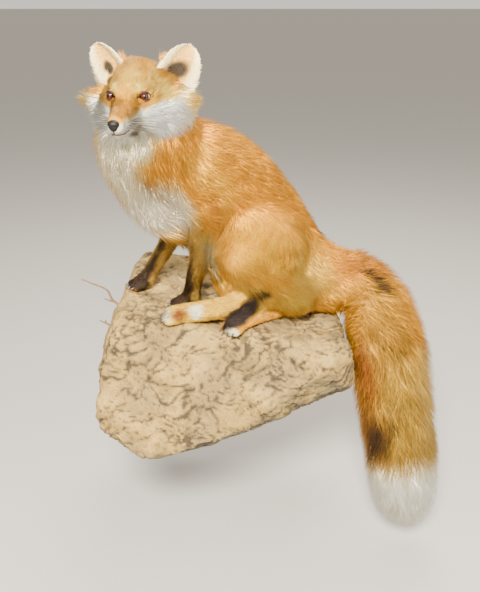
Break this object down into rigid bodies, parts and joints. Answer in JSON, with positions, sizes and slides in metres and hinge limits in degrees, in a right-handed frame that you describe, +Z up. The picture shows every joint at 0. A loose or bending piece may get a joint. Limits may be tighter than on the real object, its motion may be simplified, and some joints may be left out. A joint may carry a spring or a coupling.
{
  "type": "taxidermy fox",
  "caption": "Mounted red fox sitting with its tail hanging past the edge of a cast rock that hangs flat against a wall.",
  "frame": {"origin": "on the back board's wall face, 72 mm below the middle of the hanger plate", "axes": "+X along the wall to the right as seen from the front, +Y into the wall, +Z up"},
  "size_m": [0.6056, 0.3771, 0.788],
  "materials": {
    "coat": "dense orange guard hair over pale underfur",
    "stocking": "short blackish-brown leg hair, with horn claws",
    "pale_foot": "short buff foot hair with white toes, with horn claws",
    "ear_hair": "short velvety hair, cream with a dark patch",
    "brush": "long brush hair, rust and buff with dark ends",
    "white_hair": "long white brush hair",
    "glass": "polished glass eye, dark amber iris and black pupil",
    "nose_pad": "black pebbled nose pad",
    "cast_rock": "cast resin rock, sand coloured, pitted and stained",
    "plywood": "plain sawn plywood",
    "steel": "zinc-plated steel plate",
    "bark": "dry twig bark"
  },
  "bodies": {
    "root": {"head": "coat", "neck": "coat", "trunk": "coat", "thigh_left": "coat", "thigh_right": "coat", "foreleg_left": "stocking", "foreleg_right": "stocking", "eye_right": "glass", "eye_left": "glass", "ear_right": "ear_hair", "ear_left": "ear_hair", "nose": "nose_pad", "forepaw_left": "stocking", "forepaw_right": "stocking", "hindfoot_left": "stocking", "hindfoot_right": "pale_foot", "tail_root": "brush", "tail_brush": "brush", "tail_tip": "white_hair", "rock": "cast_rock", "back_board": "plywood", "hanger_plate": "steel", "twig_upper": "bark", "twig_lower": "bark"}
  },
  "joints": []
}
